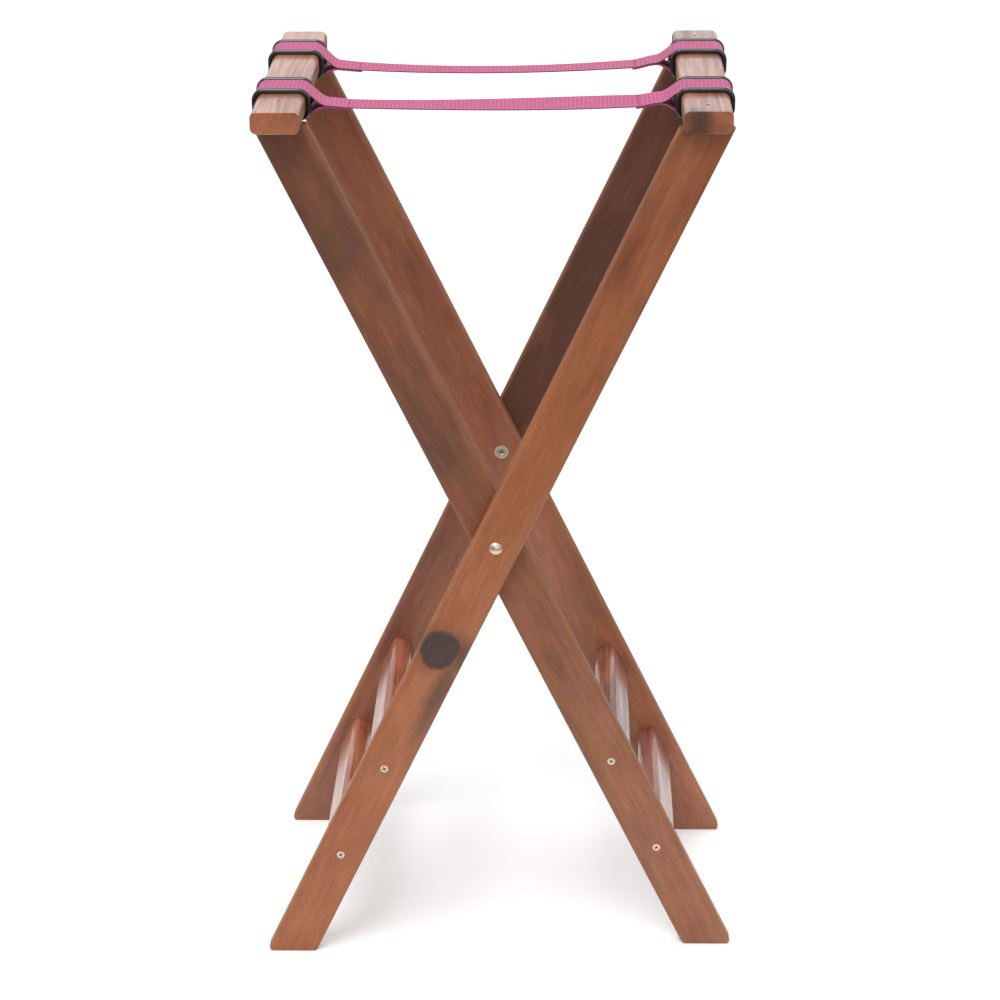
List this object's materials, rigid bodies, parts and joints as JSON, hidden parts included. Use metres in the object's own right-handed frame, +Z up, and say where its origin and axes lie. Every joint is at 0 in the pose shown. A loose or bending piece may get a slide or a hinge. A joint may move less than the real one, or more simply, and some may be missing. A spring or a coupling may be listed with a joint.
{
  "type": "folding luggage rack",
  "caption": "Tall folding stand of varnished wood: two crossed frames pivot on rivets and carry level rails joined by taut webbing straps over black sleeves.",
  "frame": {"origin": "on the floor, at the bottom centre of the bounding box, straight under the middle of the pivot axis", "axes": "+X to the right seen from the front, +Y from the front to the rear along the rails, +Z up"},
  "size_m": [0.5142, 0.348, 0.9704],
  "materials": {
    "outer_leg_wood": "reddish brown stain under satin varnish",
    "inner_leg_wood": "the same stain, on browner wood",
    "rail_wood": "reddish brown stain under glossy varnish",
    "stretcher_wood": "reddish brown stain under satin varnish",
    "strap_webbing": "pink flat webbing, ribbed across",
    "strap_sleeves": "black, moulded, slightly glossy",
    "rivets": "nickel plated",
    "washers": "plated, dull",
    "screws": "zinc plated",
    "nails": "dulled steel"
  },
  "bodies": {
    "outer_frame": {"outer_front_leg": "outer_leg_wood", "outer_rear_leg": "outer_leg_wood", "right_rail": "rail_wood", "outer_upper_stretcher": "stretcher_wood", "outer_lower_stretcher": "stretcher_wood", "outer_stretcher_screws": "screws", "right_rail_nails": "nails", "front_pivot_rivet": "rivets", "front_pivot_spacer": "washers", "front_pivot_washer": "washers", "rear_pivot_rivet": "rivets", "rear_pivot_spacer": "washers", "rear_pivot_washer": "washers", "right_front_strap_sleeve": "strap_sleeves", "right_rear_strap_sleeve": "strap_sleeves", "front_strap": "strap_webbing", "rear_strap": "strap_webbing"},
    "inner_frame": {"inner_front_leg": "inner_leg_wood", "inner_rear_leg": "inner_leg_wood", "left_rail": "rail_wood", "inner_upper_stretcher": "stretcher_wood", "inner_lower_stretcher": "stretcher_wood", "inner_stretcher_screws": "screws", "left_rail_nails": "nails", "left_front_strap_sleeve": "strap_sleeves", "left_rear_strap_sleeve": "strap_sleeves"}
  },
  "joints": [
    {"name": "fold", "type": "hinge", "parent": "outer_frame", "child": "inner_frame", "pos_m": [0, 0, 0.491], "axis": [0, 1, 0], "range_deg": [0, 42.5], "deforming": ["front_strap", "rear_strap"]}
  ]
}
